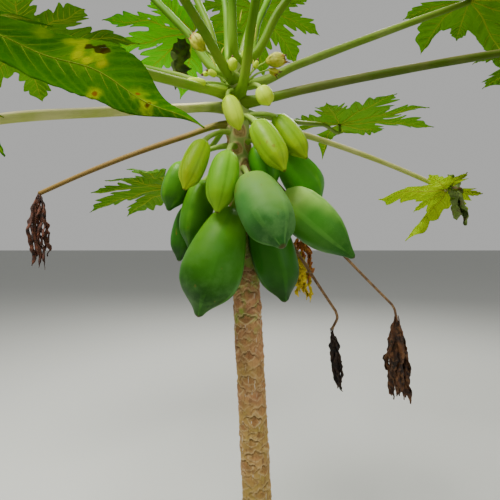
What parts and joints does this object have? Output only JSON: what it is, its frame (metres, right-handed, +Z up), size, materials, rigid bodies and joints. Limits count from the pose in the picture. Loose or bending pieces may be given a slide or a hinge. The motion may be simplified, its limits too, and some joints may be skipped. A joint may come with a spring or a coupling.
{
  "type": "papaya tree",
  "caption": "Young papaya tree rooted in the ground: one slender leaning stem with leaf scars, a dense column of green fruit, long-stalked lobed leaves, and withered leaves hanging below.",
  "frame": {"origin": "middle of the flat cut under the stem, at ground level", "axes": "+Z up; +X to the right and +Y away from the viewer of the picture"},
  "size_m": [2.0214, 1.6834, 2.0721],
  "materials": {
    "stem_bark": "rough tan bark with crescent leaf scars, greener near the top",
    "leaf_stalk": "smooth waxy green to tan",
    "leaf_blade": "soft satin leaf with raised pale veins",
    "yellow_leaf": "wilting yellow-green leaf with brown edges",
    "fruit_skin": "smooth skin with a soft waxy bloom",
    "old_stalk": "dry fibrous stalk, tan to brown",
    "withered_leaf": "crumpled dry leaf, dark brown"
  },
  "bodies": {
    "root": {"trunk": "stem_bark", "petiole_left_near_low": "leaf_stalk", "blade_left_near_low": "leaf_blade", "petiole_left_near_high": "leaf_stalk", "blade_left_near_high": "leaf_blade", "petiole_left_far": "leaf_stalk", "blade_left_far": "leaf_blade", "petiole_front_left_rising": "leaf_stalk", "blade_front_left_rising": "leaf_blade", "petiole_back_left_rising": "leaf_stalk", "blade_back_left_rising": "leaf_blade", "petiole_left_rising": "leaf_stalk", "blade_left_rising": "leaf_blade", "petiole_front_young": "leaf_stalk", "blade_front_young": "leaf_blade", "petiole_back_young": "leaf_stalk", "blade_back_young": "leaf_blade", "petiole_front_right_rising": "leaf_stalk", "blade_front_right_rising": "leaf_blade", "petiole_right_rising": "leaf_stalk", "blade_right_rising": "leaf_blade", "petiole_back_right_rising": "leaf_stalk", "blade_back_right_rising": "leaf_blade", "petiole_right_high": "leaf_stalk", "blade_right_high": "leaf_blade", "petiole_right_middle": "leaf_stalk", "blade_right_middle": "leaf_blade", "petiole_right_yellow": "leaf_stalk", "blade_right_yellow": "yellow_leaf", "petiole_right_back": "leaf_stalk", "blade_right_back": "leaf_blade", "petiole_back_left_bright": "leaf_stalk", "blade_back_left_bright": "leaf_blade", "petiole_back_rising": "leaf_stalk", "blade_back_rising": "leaf_blade", "petiole_back_left_low": "leaf_stalk", "blade_back_left_low": "leaf_blade", "fruit_upper_front": "fruit_skin", "fruit_upper_right": "fruit_skin", "fruit_middle_right_inner": "fruit_skin", "fruit_middle_right_outer": "fruit_skin", "fruit_front_centre": "fruit_skin", "fruit_right_large": "fruit_skin", "fruit_lower_right": "fruit_skin", "fruit_lower_left_large": "fruit_skin", "fruit_middle_front": "fruit_skin", "fruit_upper_left": "fruit_skin", "fruit_left_outer": "fruit_skin", "fruit_left_middle": "fruit_skin", "fruit_left_lower_back": "fruit_skin", "fruit_back_right": "fruit_skin", "fruit_back_left": "fruit_skin", "fruit_back_upper": "fruit_skin", "petiole_left_old": "old_stalk", "dead_stalk_right_near": "old_stalk", "dead_stalk_right_far": "old_stalk", "withered_leaf_left": "withered_leaf", "withered_leaf_right_near": "withered_leaf", "withered_leaf_right_far": "withered_leaf", "withered_bunch_back": "withered_leaf"}
  },
  "joints": []
}
